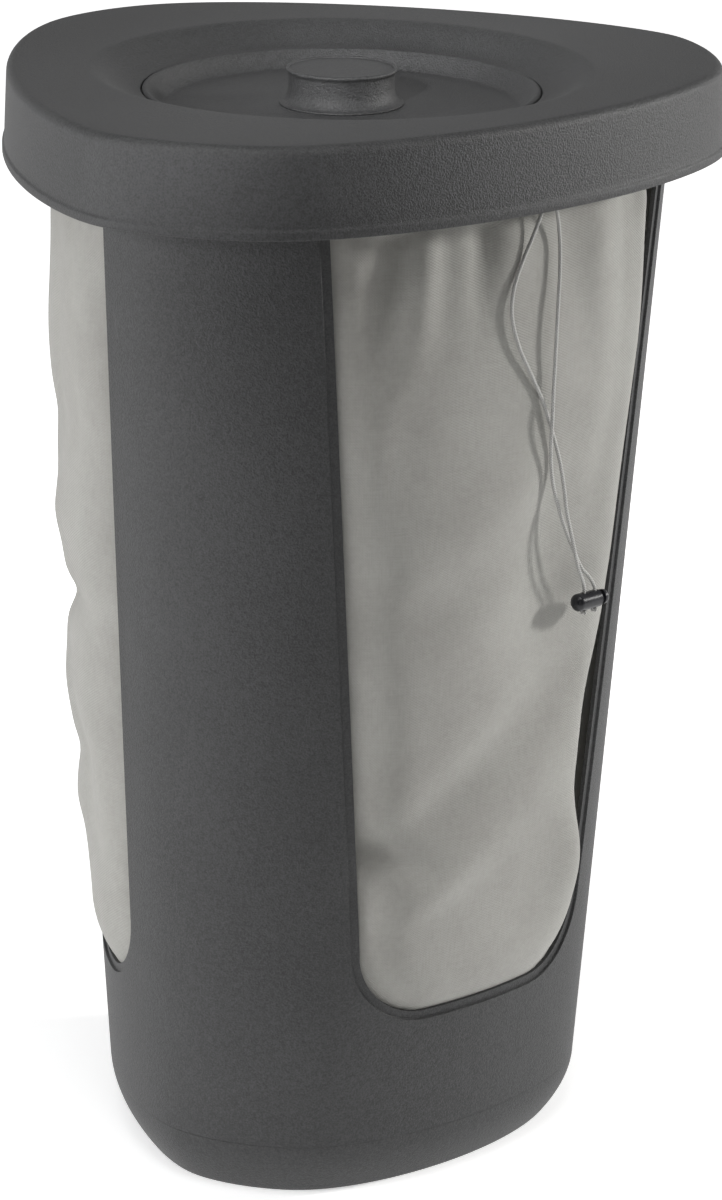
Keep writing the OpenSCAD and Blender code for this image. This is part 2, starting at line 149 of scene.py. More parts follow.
def planPoint(t, share, off, z):
    # the outline whose support is the mean plus a sum of cosines of t, scaled by share and moved
    # out by off: support times the outward direction plus its slope times the direction along
    t, z = np.broadcast_arrays(t, z)
    h = plan["mean"] + sum(c * np.cos(k * t) for k, c in plan["lobes"].items())
    d = -sum(k * c * np.sin(k * t) for k, c in plan["lobes"].items())
    h, d = share * h + off, share * d
    a = t + np.pi / 2
    return np.stack([h * np.cos(a) - d * np.sin(a), h * np.sin(a) + d * np.cos(a), z], -1)


def wallShare(z):
    # the basket's share of the outline, which grows evenly from its seam line to its rim
    up = (np.maximum(z, basket["seam"]) - basket["seam"]) / (basket["rim"] - basket["seam"])
    return basket["low"] + (basket["high"] - basket["low"]) * up


def basketPoint(t, z, off):
    # the wall at angle t and height z, which below the seam line curves in by a power of the
    # height
    inset = basket["inset"] * (1 - np.clip(z / basket["seam"], 0, 1)) ** 1.8
    return planPoint(t, wallShare(z), basket["round"] + off - inset, z)


opening = {"bottom": 113.0, "corner": 45.0, "top": 597.6}
windows = {
    "left": {"turn": -120.0, "middle": 60.0, "edges": ((-34.5, -0.018), (54.8, 0.0826))},
    "front": {"turn": 0.0, "middle": 180.0, "edges": ((-71.8, -0.0935), (71.8, 0.0935))},
    "right": {"turn": 120.0, "middle": 300.0, "edges": ((-54.8, -0.0826), (34.5, 0.018))},
}
cornerZ = opening["bottom"] + opening["corner"]


def edgeAt(window, side, z):
    start, lean = window["edges"][side]
    return start + lean * z


def across(window, points):
    # distance to the side of the window's middle line, as seen facing the window
    a = np.radians(window["turn"])
    return points[..., 0] * np.cos(a) + points[..., 1] * np.sin(a)


def angleAt(window, x, z):
    # t of the wall's point at distance x to the side and height z, found by halving
    x, z = np.broadcast_arrays(np.asarray(x, float), np.asarray(z, float))
    low = np.full(x.shape, np.radians(window["middle"] - 55))
    high = np.full(x.shape, np.radians(window["middle"] + 55))
    for _ in range(40):
        mid = (low + high) / 2
        short = across(window, basketPoint(mid, z, 0)) < x
        low, high = np.where(short, mid, low), np.where(short, high, mid)
    return (low + high) / 2


def insideWindow(window, x, z):
    # distance inwards from the window's outline: its leaning edges, its flat bottom, its top and
    # its rounded lower corners
    left, right = x - edgeAt(window, 0, z), edgeAt(window, 1, z) - x
    side = np.minimum(left, right)
    up = z - opening["bottom"]
    r = opening["corner"]
    corner = r - np.hypot(np.maximum(r - side, 0), np.maximum(r - up, 0))
    plain = np.minimum(side, up)
    inner = np.where((side < r) & (up < r), corner, plain)
    return np.minimum(inner, opening["top"] - z)


cordSize = 2.2
leftRoute = [
    (2.5, -168.3, 613.2), (2.5, -168.3, 605), (2, -167.8, 597), (-3, -166.4, 583),
    (-11, -165.4, 567), (-17, -165.6, 553), (-19, -166.4, 538), (-14, -167.2, 520),
    (-4, -167.2, 502), (6, -166, 486), (14, -164.4, 471), (20, -163.6, 457), (25, -163.2, 443),
    (29, -162.8, 428), (32, -162.4, 413), (36, -162.2, 400), (40, -161.6, 388), (45, -160, 376),
    (50.5, -158.2, 367), (53.2, -157.2, 360.5), (53.5, -157, 355), (53.5, -157, 348.4),
]
rightRoute = [
    (11, -168.3, 613.2), (11, -168.3, 605), (12, -167.6, 597), (16, -166, 585),
    (18, -165.6, 571), (17.5, -166.4, 555), (15.5, -167.8, 539), (14, -168.8, 523),
    (13, -169.2, 506), (12.5, -169, 489), (13, -168.2, 472), (14.5, -166, 456), (18, -163.2, 441),
    (23, -161, 427), (29, -159.2, 414), (36, -157.8, 400), (44, -156.8, 386), (51, -156.4, 374),
    (57.5, -156.6, 367), (61.4, -157, 360.5), (62, -157, 355), (62, -157, 348.4),
]


def smoothPath(route, steps=8):
    # a curve through the route's points, each span a cubic that leaves and arrives along the line
    # between the neighbouring points
    p = np.array(route, float)
    a = np.concatenate([p[:1], p[:-2]])
    b, c = p[:-1], p[1:]
    d = np.concatenate([p[2:], p[-1:]])
    u = np.linspace(0, 1, steps, endpoint=False)[None, :, None]
    a, b, c, d = (k[:, None, :] for k in (a, b, c, d))
    q = 0.5 * (2 * b + (c - a) * u + (2 * a - 5 * b + 4 * c - d) * u ** 2
               + (3 * b - a - 3 * c + d) * u ** 3)
    return np.concatenate([q.reshape(-1, 3), p[-1:]])


def tube(path, radius, sides=14):
    # a ring across the path at each of its points, closed at both ends, with uv in metres along
    # the cord and turns round it
    along = np.gradient(path, axis=0)
    along /= np.linalg.norm(along, axis=1, keepdims=True)
    side = np.cross(along, [0.31, 0.95, 0.05])
    side /= np.linalg.norm(side, axis=1, keepdims=True)
    other = np.cross(along, side)
    w = np.linspace(0, 2 * np.pi, sides, endpoint=False)
    ring = (side[:, None] * np.cos(w)[None, :, None] + other[:, None] * np.sin(w)[None, :, None])
    points = path[:, None] + radius * ring
    points = np.concatenate([path[:1, None] + 0 * points[:1], points, path[-1:, None] + 0 * points[:1]])
    s = np.concatenate([[0], np.cumsum(np.linalg.norm(np.diff(path, axis=0), axis=1))])
    s = np.concatenate([s[:1], s, s[-1:]]) * millimetre
    u = np.linspace(0, 1, sides + 1)
    faces = gridFaces(len(points), sides, wrapColumns=True)
    return points.reshape(-1, 3), faces, gridUv(u, s)


def makeCord(name, route, node):
    path = smoothPath(route)
    cord = addPiece(name, [tube(path, cordSize / 2)], "hamper", [node])
    length = np.linalg.norm(np.diff(path, axis=0), axis=1).sum() * millimetre
    return cord, path * millimetre, float(length)


def knot(name, centre, radius):
    # a small ball with the two bights of an overhand knot wound round it
    a = np.linspace(0, 2 * np.pi, 60)
    wound = np.stack([
        centre[0] + radius * 0.62 * (np.sin(a) + 0.55 * np.sin(2 * a)),
        centre[1] + radius * 0.62 * (np.cos(a) - 0.55 * np.cos(2 * a)),
        centre[2] - radius * 0.5 * np.sin(3 * a),
    ], -1)
    return addPiece(name, [tube(wound, 0.95, 10)], "hamper", ["cord_knots"])


knotLeft = knot("knotLeft", (53.5, -157, 346.5), 1.25)
knotRight = knot("knotRight", (62, -157, 346.5), 1.25)
cordLeft, pathLeft, lengthLeft = makeCord("drawstringLeft", leftRoute, "drawstring_left")
cordRight, pathRight, lengthRight = makeCord("drawstringRight", rightRoute, "drawstring_right")
print("stage: drawstring", round(lengthLeft, 3), round(lengthRight, 3))


shell = {"wall": 2.5, "face": 0.5, "step": 1.7, "bandIn": 4.6, "bandOut": 5.2, "strip": 7.0,
         "pillarColumns": 28, "backColumns": 40, "arcColumns": 12, "flatColumns": 18,
         "topColumns": 24, "lip": 4.6, "lipBottom": 632.4}
strip = shell["strip"]
stripSteps = np.array([strip, 6.2, 5.6, 5.2, 5.05, 4.9, 4.75, 4.6, 4.2, 2.5, 1.0, 0])
lowShare = np.concatenate([np.linspace(0, 0.24, 15), np.linspace(0.24, 1, 14)[1:]])
midZ = np.linspace(cornerZ, opening["top"], 40)
columnZ = np.concatenate([cornerZ * lowShare, midZ[1:]])


def faceOff(d):
    # the wall's face, and a shallow step down to the band that runs round each window
    u = np.clip((d - shell["bandIn"]) / (shell["bandOut"] - shell["bandIn"]), 0, 1)
    return shell["face"] - shell["step"] * (1 - u * u * (3 - 2 * u))


def windowStrip(window):
    # the band round a window: down one edge, round the corners and up the other, at each distance
    d = stripSteps[:, None]
    r = opening["corner"] + d
    a = np.radians(np.linspace(0, 90, shell["arcColumns"] + 1))[None, :]
    left = edgeAt(window, 0, cornerZ) + opening["corner"]
    right = edgeAt(window, 1, cornerZ) - opening["corner"]
    flat = np.linspace(left, right, shell["flatColumns"] + 1)[None, 1:-1]
    down = midZ[::-1][None, :-1]
    x = np.concatenate([edgeAt(window, 0, down) - d, left - r * np.cos(a), flat + 0 * d,
                        (right + r * np.cos(a))[:, ::-1], edgeAt(window, 1, down[:, ::-1]) + d], 1)
    z = np.concatenate([down + 0 * d, cornerZ - r * np.sin(a), opening["bottom"] - d + 0 * flat,
                        (cornerZ - r * np.sin(a))[:, ::-1], down[:, ::-1] + 0 * d], 1)
    return x, z


def wallGrid(t, z, off):
    # the wall's points at angle t and height z, moved out by off, with their faces
    points = basketPoint(t, z, off)
    return points.reshape(-1, 3), gridFaces(*points.shape[:2])


def makeBasket():
    # grids that meet edge to edge: the bands round the windows, the columns below and between
    # them, the underside, and the ring with its lip
    parts, baseT, ringT, ringX = [], [], [], []
    order = ["left", "front", "right"]
    face = shell["face"]
    for k, name in enumerate(order):
        window = windows[name]
        x, z = windowStrip(window)
        t = angleAt(window, x, z)
        parts.append(wallGrid(t, z, faceOff(stripSteps[:, None]) + 0 * z))

        # below the window, straight columns fan from the base up to the band
        first = len(midZ) - 1
        arcs = slice(first, first + 2 * shell["arcColumns"] + shell["flatColumns"] + 1)
        topX, topZ = x[0, arcs], z[0, arcs]
        run = np.concatenate([[0], np.cumsum(np.hypot(np.diff(topX), np.diff(topZ)))])
        low, high = edgeAt(window, 0, 0) - strip, edgeAt(window, 1, 0) + strip
        baseX = low + (high - low) * run / run[-1]
        v = lowShare[:, None]
        fanX, fanZ = baseX + (topX - baseX) * v, topZ * v
        fanT = angleAt(window, fanX, fanZ)
        parts.append(wallGrid(fanT, fanZ, face + 0 * fanZ))

        # the solid stretch from this window to the next
        following = windows[order[(k + 1) % 3]]
        start = angleAt(window, edgeAt(window, 1, columnZ) + strip, columnZ)[:, None]
        end = angleAt(following, edgeAt(following, 0, columnZ) - strip, columnZ)[:, None]
        end = end + (2 * np.pi if k == 2 else 0)
        count = shell["backColumns"] if k == 2 else shell["pillarColumns"]
        w = np.linspace(0, 1, count + 1)[None, :]
        solidT = start + (end - start) * w
        parts.append(wallGrid(solidT, columnZ[:, None] + 0 * w, face + 0 * solidT))

        # columns of the base and of the ring above the windows
        baseT += [fanT[0, :-1], solidT[0, :-1]]
        top = opening["top"]
        bandX = edgeAt(window, 0, top) - stripSteps[:-1]
        paneX = np.linspace(edgeAt(window, 0, top), edgeAt(window, 1, top), shell["topColumns"] + 1)
        bandOut = edgeAt(window, 1, top) + stripSteps[::-1][1:-1]
        tops = np.concatenate([bandX, paneX, bandOut])
        ringT += [angleAt(window, tops, top), solidT[-1, :-1]]
        ringX += [np.concatenate([stripSteps[:-1], 0 * paneX, stripSteps[::-1][1:-1]]),
                  np.full(count, strip)]

    baseT, ringT, ringX = (np.concatenate(k) for k in (baseT, ringT, ringX))

    # underside: a raised panel inside a foot ring
    share = np.array([0, 0.3, 0.6, 0.85, 0.93, 0.945, 0.955, 0.985, 1])
    height = np.array([1.6, 1.6, 1.6, 1.6, 1.6, 1.2, 0, 0, 0])
    foot = basketPoint(baseT, 0 * baseT, face)[None] * share[:, None, None]
    foot[..., 2] = height[:, None]
    parts.append((foot.reshape(-1, 3), gridFaces(len(share), len(baseT), wrapColumns=True)))

    # ring and turned-over lip, as (outward, height)
    rise = np.concatenate([stripSteps[::-1], [12, 20, 28, 35, 40]])
    turned = arc((1.6 + face, 641.4), 1.6, 180, 90, 6) + [(3.2, 643.0)]
    turned += arc((shell["lip"] - 1.6, 641.4), 1.6, 90, 0, 6)[1:]
    turned += [(shell["lip"], 637), (shell["lip"], shell["lipBottom"])]
    turned = np.array(turned)
    off = np.concatenate([faceOff(np.hypot(ringX[None], rise[:, None])),
                          turned[:, :1] + 0 * ringX[None]])
    z = np.concatenate([opening["top"] + rise, turned[:, 1]])[:, None] + 0 * ringX[None]
    ring = basketPoint(ringT[None] + 0 * z, z, off)
    parts.append((ring.reshape(-1, 3), gridFaces(*ring.shape[:2], wrapColumns=True)))

    piece = addPiece("basket", parts, "hamper", ["body_shell"])
    thicken(piece, shell["wall"])
    softenEdges(piece, 0.45, 2, 60)
    return piece


basketPiece = makeBasket()
print("stage: basket", len(basketPiece.data.polygons), "faces")


lid = {"top": 650.0, "skirt": 599.0, "wall": 2.5, "bead": 1.2, "beadTop": 605.0, "lean": 1.6,
       "edge": 5.5, "dish": 147.0, "drop": 12.6, "opening": 116.4, "shelf": 634.2, "lipIn": 113.4,
       "columns": 360}


def dishHeight(r):
    # a half cosine down from the rim to the opening, a little fuller at its top
    u = (lid["dish"] - r) / (lid["dish"] - lid["opening"])
    return lid["top"] - lid["drop"] * (1 - np.cos(np.pi * np.clip(u, 0, 1) ** 0.86)) / 2


def lidRows():
    # rows of (blend, outward, radius, height): blend 0 follows the outline, 1 is a round ring
    top, wall, edge = lid["top"], lid["wall"], lid["edge"]
    lean = -lid["bead"] - lid["lean"]
    low = lid["skirt"]
    rows = [(0, -2.6, 0, low + 1), (0, -2.3, 0, low + 0.3), (0, -1.7, 0, low), (0, -0.7, 0, low),
            (0, -0.2, 0, low + 0.25), (0, 0, 0, low + 0.8), (0, 0, 0, low + 4.2),
            (0, -0.15, 0, low + 4.9), (0, -0.6, 0, low + 5.5), (0, -1.05, 0, low + 6.1),
            (0, -1.2, 0, low + 7), (0, -1.3, 0, low + 9)]
    rows += [(0, -lid["bead"] - lid["lean"] * (z - lid["beadTop"]) / 40, 0, z) for z in (616, 626, 635)]
    rows += [(0, off, 0, z) for off, z in arc((lean - edge, top - edge), edge, 0, 90, 9)]
    inner = lean - edge
    rows += [(w, inner, lid["dish"] + 2, top) for w in (0.12, 0.3, 0.5, 0.7, 0.88, 1)]
    dish = np.linspace(lid["dish"], lid["opening"] + 1.2, 20)
    rows += [(1, 0, r, dishHeight(r)) for r in dish]
    mouth = dishHeight(lid["opening"])
    rows += [(1, 0, lid["opening"] + 0.5, mouth - 0.1), (1, 0, lid["opening"] + 0.1, mouth - 0.4),
             (1, 0, lid["opening"], mouth - 0.9), (1, 0, lid["opening"], lid["shelf"] + 0.1),
             (1, 0, lid["opening"] - 0.1, lid["shelf"]), (1, 0, lid["lipIn"] + 0.3, lid["shelf"]),
             (1, 0, lid["lipIn"], lid["shelf"] - 0.3), (1, 0, lid["lipIn"], lid["shelf"] - 1.9),
             (1, 0, lid["lipIn"] + 0.3, lid["shelf"] - 2.2), (1, 0, 118.4, lid["shelf"] - 2.2)]
    rows += [(1, 0, r + 0.8, dishHeight(r) - wall) for r in dish[::-1] if r > 119]
    under = top - wall
    rows += [(w, inner, lid["dish"] + 3, under) for w in (1, 0.8, 0.5, 0.2, 0)]
    rows += [(0, lean - wall - 0.9, 0, under - 0.3), (0, lean - wall - 0.1, 0, under - 1.4),
             (0, lean - wall, 0, under - 4), (0, lean - wall + 0.7, 0, low + 26),
             (0, -3.7, 0, low + 8), (0, -2.9, 0, low + 2.5)]
    return np.array(rows, float)


def makeOuterLid():
    # each row is the plan outline, a circle, or a blend of the two, at its own height
    t = np.linspace(0, 2 * np.pi, lid["columns"], endpoint=False)
    rows = lidRows()
    blend, off, radius, z = (rows[:, k][:, None] for k in range(4))
    outline = planPoint(t[None] + 0 * z, 1.0, off, z + 0 * t)
    a = t + np.pi / 2
    circle = np.stack([radius * np.cos(a), radius * np.sin(a), z + 0 * a], -1)
    points = outline * (1 - blend[..., None]) + circle * blend[..., None]
    points[..., 2] = z
    moulding = (points.reshape(-1, 3), gridFaces(*points.shape[:2], wrapRows=True, wrapColumns=True))

    # the locating rib that stands inside the bag's mouth
    ribRows = [(-9.2, 624.5), (-8.7, 624), (-7.7, 624), (-7.2, 624.5), (-7.2, 648), (-9.2, 648)]
    ribOff, ribZ = (np.array(ribRows)[:, k][:, None] + 0 * t for k in (0, 1))
    rib = basketPoint(t[None] + 0 * ribZ, ribZ, ribOff)
    ribPart = (rib.reshape(-1, 3), gridFaces(*rib.shape[:2], wrapRows=True, wrapColumns=True))
    return addPiece("outerLid", [moulding, ribPart], "outer_lid", ["outer_lid"])


outerLid = makeOuterLid()
print("stage: outer lid", len(outerLid.data.polygons), "faces")


pan = {"out": 115.7, "beadTop": 638.1, "floor": 628.0, "floorR": 103.0, "under": 625.5,
       "boss": 614.0, "bossR": 5.5, "ring": 37.9, "rise": 0.4, "rest": 634.5}
knobShape = {"lip": 32.3, "waist": 30.9, "foot": 36.3, "bottom": 628.42, "top": 650.0,
             "cap": 649.1, "capR": 30.05}


def makeInnerLid():
    # half the pan's section, from the boss underneath out to the rolled edge and back over its
    # curved slope to the floor, turned round the axis
    bead = 1.9
    slopeTop = (pan["out"] - 2 * bead, pan["beadTop"] - bead * 0.55)
    u = np.linspace(0, 1, 16)[1:]
    slope = [(slopeTop[0] + (pan["floorR"] - slopeTop[0]) * k,
              pan["floor"] + (slopeTop[1] - pan["floor"]) * (1 - k) ** 1.35) for k in u]
    profile = [(0, pan["boss"]), (pan["bossR"] - 0.4, pan["boss"]),
               (pan["bossR"], pan["boss"] + 0.4),
               (pan["bossR"], pan["under"] - 0.8), (pan["bossR"] + 0.8, pan["under"]),
               (103.5, pan["under"]), (105, 625.8), (112.7, pan["rest"]),
               (pan["out"] - 0.4, pan["rest"]), (pan["out"], pan["rest"] + 0.4)]
    profile += arc((pan["out"] - bead, pan["beadTop"] - bead), bead, 0, 150, 10)
    profile += slope
    profile += [(pan["floorR"] - 3, pan["floor"]), (70, pan["floor"]),
                (pan["ring"] + 0.5, pan["floor"]),
                (pan["ring"], pan["floor"] + 0.25), (pan["ring"] - 0.35, pan["floor"] + pan["rise"]),
                (0, pan["floor"] + pan["rise"])]
    return addPiece("innerLid", [revolved(profile)], "inner_lid", ["inner_lid"])


def makeKnob():
    # a foot that flares by a quarter sine and cosine into a straight waist, a rolled lip, and
    # the hollow inside
    foot, waist, lipR = knobShape["foot"], knobShape["waist"], knobShape["lip"]
    bottom, top = knobShape["bottom"], knobShape["top"]
    a = np.radians(np.linspace(0, 90, 14))
    flare = [(foot - (foot - waist) * np.sin(k) ** 0.9, bottom + 1.3 + 9.5 * (1 - np.cos(k)))
             for k in a]
    neck = [(waist, bottom + 14), (waist + 0.05, top - 4.2), (waist + 0.35, top - 2.9)]
    profile = [(0, bottom + 0.6), (foot - 2.4, bottom + 0.6), (foot - 2.2, bottom),
               (foot - 0.5, bottom), (foot - 0.1, bottom + 0.3)]
    profile += flare + neck + arc((lipR - 1.3, top - 1.3), 1.3, -35, 100, 10)
    profile += [(knobShape["capR"] + 0.15, top - 0.25), (knobShape["capR"] + 0.1, top - 2.6),
                (28.5, top - 2.8), (28.5, bottom + 3.4), (0, bottom + 3.4)]
    return addPiece("lidKnob", [revolved(profile, 192)], "inner_lid", ["lid_knob"])


def makeCap():
    # a thin disc with rounded edges, its top faintly crowned
    r, top = knobShape["capR"], knobShape["cap"]
    profile = [(0, top - 1.7), (r - 0.2, top - 1.7), (r, top - 1.5), (r, top - 0.35),
               (r - 0.1, top - 0.1), (r - 0.35, top), (r - 1.2, top + 0.03), (r * 0.6, top + 0.12),
               (r * 0.3, top + 0.17), (0, top + 0.18)]
    return addPiece("knobCap", [revolved(profile, 192)], "inner_lid", ["knob_cap"])


innerLid = makeInnerLid()
lidKnob = makeKnob()
knobCap = makeCap()
print("stage: inner lid and knob")


bag = {"cloth": 0.8, "rest": -4.0, "columns": 420, "rows": 150, "bottom": 7.2,
       "frontBulge": 12.0, "sideBulge": 11.0, "reach": 34.0, "drawnPast": -8, "drawnMost": -56}

# the cloth's way over the basket's lip, as (outward, height)
overLip = [(-3.4, 645.3), (-2.0, 646.6), (0.4, 646.75), (4.5, 646.75), (6.6, 646.3), (7.8, 645.0),
           (8.3, 642.5), (8.35, 637.5), (8.3, 632), (7.6, 628.5), (6.2, 625.4), (5.0, 623.4)]

# soft folds of the cloth: window, distance to the side, height, half width, half height, lean of
# the fold's longer line, and how far it stands out
folds = [
    ("front", -94, 572, 12, 66, 0.08, -7.5), ("front", -76, 560, 11, 60, 0.08, 3.2),
    ("front", -56, 590, 12, 46, 0.08, -2.2), ("front", -35, 588, 9, 40, 0.05, -6.0),
    ("front", -16, 580, 11, 45, 0.05, 1.6), ("front", 30, 582, 14, 52, -0.1, -2.8),
    ("front", 58, 560, 16, 80, -0.05, 2.0), ("front", 88, 580, 13, 60, 0.05, -3.0),
    ("front", 126, 590, 9, 70, 0.09, -15.0), ("front", 96, 244, 20, 41, 0.06, -50.0),
    ("front", 87, 165, 9, 50, 0.09, -11.0),
    ("front", 62, 186, 22, 34, 0.1, 6.5), ("front", -90, 222, 30, 11, -0.25, -9.5),
    ("front", -50, 244, 50, 18, 0.6, -4.5), ("front", -48, 194, 46, 15, 0.45, 5.5),
    ("front", 34, 296, 60, 24, 0.6, -5.0), ("front", 16, 246, 60, 22, 0.2, 3.0),
    ("front", -30, 420, 60, 24, 0.35, 4.0), ("front", -50, 374, 50, 18, 0.3, -4.0),
    ("front", 78, 446, 16, 60, 0.1, -3.0), ("front", -84, 470, 14, 70, 0.1, -2.6),
    ("front", 26, 486, 46, 16, -0.3, 1.8), ("front", 34, 372, 42, 84, 0.15, -11.0),
    ("left", -30, 560, 14, 40, 0, -8.5), ("left", 4, 450, 60, 16, 0.1, -2.2),
    ("left", -4, 388, 70, 19, 0.12, 4.0), ("left", -4, 338, 70, 11, 0.16, -6.5),
    ("left", -4, 284, 60, 22, 0.1, 2.6), ("left", -8, 240, 60, 11, 0.2, -2.4),
    ("left", -10, 208, 50, 15, 0.1, 2.4), ("left", -28, 150, 12, 26, 0, -13.0),
    ("left", 26, 236, 16, 70, -0.3, -3.4), ("left", 22, 520, 12, 60, 0.05, -2.6),
    ("right", 20, 560, 14, 70, 0, -4.0), ("right", -10, 400, 60, 24, 0.2, 2.5),
    ("right", -6, 352, 60, 16, 0.2, -4.0), ("right", -30, 250, 28, 60, -0.3, -4.0),
    ("right", 10, 190, 50, 20, 0.1, 3.0), ("right", -20, 570, 12, 50, 0.05, -3.4),
]


def smoothStep(x):
    u = np.clip(x, 0, 1)
    return u * u * (3 - 2 * u)


def bagOff(t, z):
    # the cloth lies just inside the wall, and over each window it swells out from the window's
    # outline and carries its folds, each a bell in both directions; the deepest folds draw it in
    # behind the pillars too
    wall = basketPoint(t, z, 0)
    off = np.full(t.shape, bag["rest"])
    wide = np.sin(3 * t + z / 61) + 0.6 * np.sin(7 * t - z / 43 + 1) + 0.4 * np.sin(11 * t + z / 29)
    for name, window in windows.items():
        facing = np.cos(t - np.radians(window["middle"])) > 0.2
        x = across(window, wall)
        inside = np.where(facing, insideWindow(window, x, z), -1)
        edge = np.clip(inside / bag["reach"], 0, 1)
        swell = 1 - (1 - edge) ** 2.2
        high = 0.35 + 0.65 * smoothStep((opening["top"] - z) / 110)
        bulge = bag["frontBulge"] if name == "front" else bag["sideBulge"]
        out = bulge * swell * high + 1.1 * wide * edge
        drawn = 0
        for where, fx, fz, fw, fh, lean, deep in folds:
            if where == name:
                dx, dz = x - fx, z - fz
                upright = fh > fw
                dx, dz = (dx - lean * dz, dz) if upright else (dx, dz - lean * dx)
                fold = deep * np.exp(-(dx / fw) ** 2 - (dz / fh) ** 2)
                if deep < bag["drawnPast"]:
                    drawn = drawn + fold * facing
                else:
                    out = out + fold * smoothStep(inside / 9)
        off = np.where(inside > 0, off + out, off) + np.maximum(drawn, bag["drawnMost"])
    return off


def makeBag():
    # the plan outline at each height, moved out or in by bagOff, then over the basket's lip and
    # down outside it, with fine gathers that grow towards the mouth
    columns = bag["columns"]
    t = np.linspace(0, 2 * np.pi, columns, endpoint=False)[None]
    low = np.linspace(bag["bottom"], 34, 9)
    body = np.linspace(34, opening["top"] - 4, bag["rows"])[1:]
    top = np.array([598, 606, 615, 624, 632, 638, 642])
    z = np.concatenate([low, body, top])[:, None]
    off = bagOff(t + 0 * z, z + 0 * t)
    waves = np.sin(61 * t) + 0.6 * np.sin(97 * t + 1) + 0.5 * np.sin(37 * t + 2)
    gather = smoothStep((z - 480) / 150) * waves
    off = off + 0.35 * gather - 0.5 * (z < 12)
    over = np.array(overLip)
    z = np.concatenate([z + 0 * t, over[:, 1:] + 0 * t])
    off = np.concatenate([off, over[:, :1] + 0 * t])
    points = basketPoint(t + 0 * z, z, off)
    s = np.linalg.norm(np.diff(points, axis=1, append=points[:, :1]), axis=2).sum(1)
    up = np.concatenate([[0], np.cumsum(np.linalg.norm(np.diff(points[:, 0], axis=0), axis=1))])
    u = np.linspace(0, 1, columns + 1) * s.mean() * millimetre
    grid = (points.reshape(-1, 3), gridFaces(*points.shape[:2], wrapColumns=True),
            gridUv(u, up * millimetre))
    piece = addPiece("bagWall", [grid], "hamper", ["bag_wall"])
    thicken(piece, bag["cloth"], 0)
    return piece, s.mean() * millimetre, up[-1] * millimetre


def makeBagBottom():
    # the outline at the basket's floor, shrunk towards its middle, with shallow waves
    t = np.linspace(0, 2 * np.pi, 240, endpoint=False)[None]
    share = np.linspace(0, 1, 40)[:, None]
    rim = basketPoint(t, 0 * t + 6.9, -4.3)
    points = rim * share[..., None]
    dimple = np.sin(points[..., 0] / 21) * np.sin(points[..., 1] / 27 + 1) * smoothStep((1 - share) * 5)
    points[..., 2] = 6.9 + 0.25 * (1 + dimple)
    u = points[..., :2].reshape(-1, 2) * millimetre
    faces = gridFaces(40, 240, wrapColumns=True)[:, ::-1]
    piece = addPiece("bagBottom", [(points.reshape(-1, 3), faces, u[faces].reshape(-1, 2))], "hamper",
                     ["bag_bottom"])
    thicken(piece, bag["cloth"], 0)
    return piece


hem = {"off": 4.4, "z": 614.6, "halfW": 2.3, "halfH": 7.6, "round": 1.13}


def makeHem():
    # the channel's upright oval section, gathered along its length by the drawstring
    t = np.linspace(0, 2 * np.pi, 480, endpoint=False)[None]
    w = np.linspace(0, 2 * np.pi, 20, endpoint=False)[:, None]
    ripple = 1 + 0.10 * np.sin(83 * t) + 0.08 * np.sin(131 * t + 2) + 0.06 * np.sin(57 * t + 1)
    pinch = 1 - 0.75 * np.exp(-((np.cos(w) - 0.62) / 0.09) ** 2)
    off = hem["off"] + hem["halfW"] * np.sin(w) * ripple * pinch
    z = hem["z"] - hem["halfH"] * np.cos(w) * (1 + 0.03 * np.sin(83 * t + 1))
    points = planPoint(t + 0 * z, wallShare(hem["z"]), basket["round"] + off, z)
    u = np.linspace(0, 1, 481) * hem["round"]
    v = np.linspace(0, 1, 21) * 0.034
    faces = gridFaces(20, 480, wrapRows=True, wrapColumns=True)[:, ::-1]
    uv = gridUv(u, v).reshape(-1, 4, 2)[:, ::-1].reshape(-1, 2)
    return addPiece("bagHem", [(points.reshape(-1, 3), faces, uv)], "hamper", ["bag_hem"])


def makeHemCord():
    # a round section carried along the middle of the channel
    t = np.linspace(0, 2 * np.pi, 360, endpoint=False)[None]
    w = np.linspace(0, 2 * np.pi, 12, endpoint=False)[:, None]
    r = cordSize / 2
    off = basket["round"] + hem["off"] + r * np.sin(w)
    points = planPoint(t + 0 * w, wallShare(hem["z"]), off, hem["z"] - r * np.cos(w) + 0 * t)
    faces = gridFaces(12, 360, wrapRows=True, wrapColumns=True)[:, ::-1]
    uv = gridUv(np.linspace(0, 1, 13), np.linspace(0, 1, 361) * hem["round"])
    uv = np.transpose(uv.reshape(360, 12, 4, 2), (1, 0, 2, 3)).reshape(-1, 4, 2)
    uv = uv[:, ::-1].reshape(-1, 2)
    return addPiece("drawstringHem", [(points.reshape(-1, 3), faces, uv)], "hamper",
                    ["drawstring_hem"])


bagWall, bagRound, bagHeight = makeBag()
bagBottom = makeBagBottom()
bagHem = makeHem()
hemCord = makeHemCord()
print("stage: bag", round(bagRound, 3), round(bagHeight, 3), len(bagWall.data.polygons), "faces")


class Value:
    # a socket that takes part in arithmetic, each operation a Math node
    def __init__(self, shader, socket):
        self.shader, self.socket = shader, socket

    def maths(self, operation, *others, swap=False):
        values = [self, *others]
        if swap:
            values = values[::-1]
        return self.shader.node("Math", {"operation": operation}, dict(enumerate(values)))

    def __add__(self, other):
        return self.maths("ADD", other)

    def __radd__(self, other):
        return self.maths("ADD", other)

    def __mul__(self, other):
        return self.maths("MULTIPLY", other)

    def __rmul__(self, other):
        return self.maths("MULTIPLY", other)

    def __sub__(self, other):
        return self.maths("SUBTRACT", other)

    def __rsub__(self, other):
        return self.maths("SUBTRACT", other, swap=True)


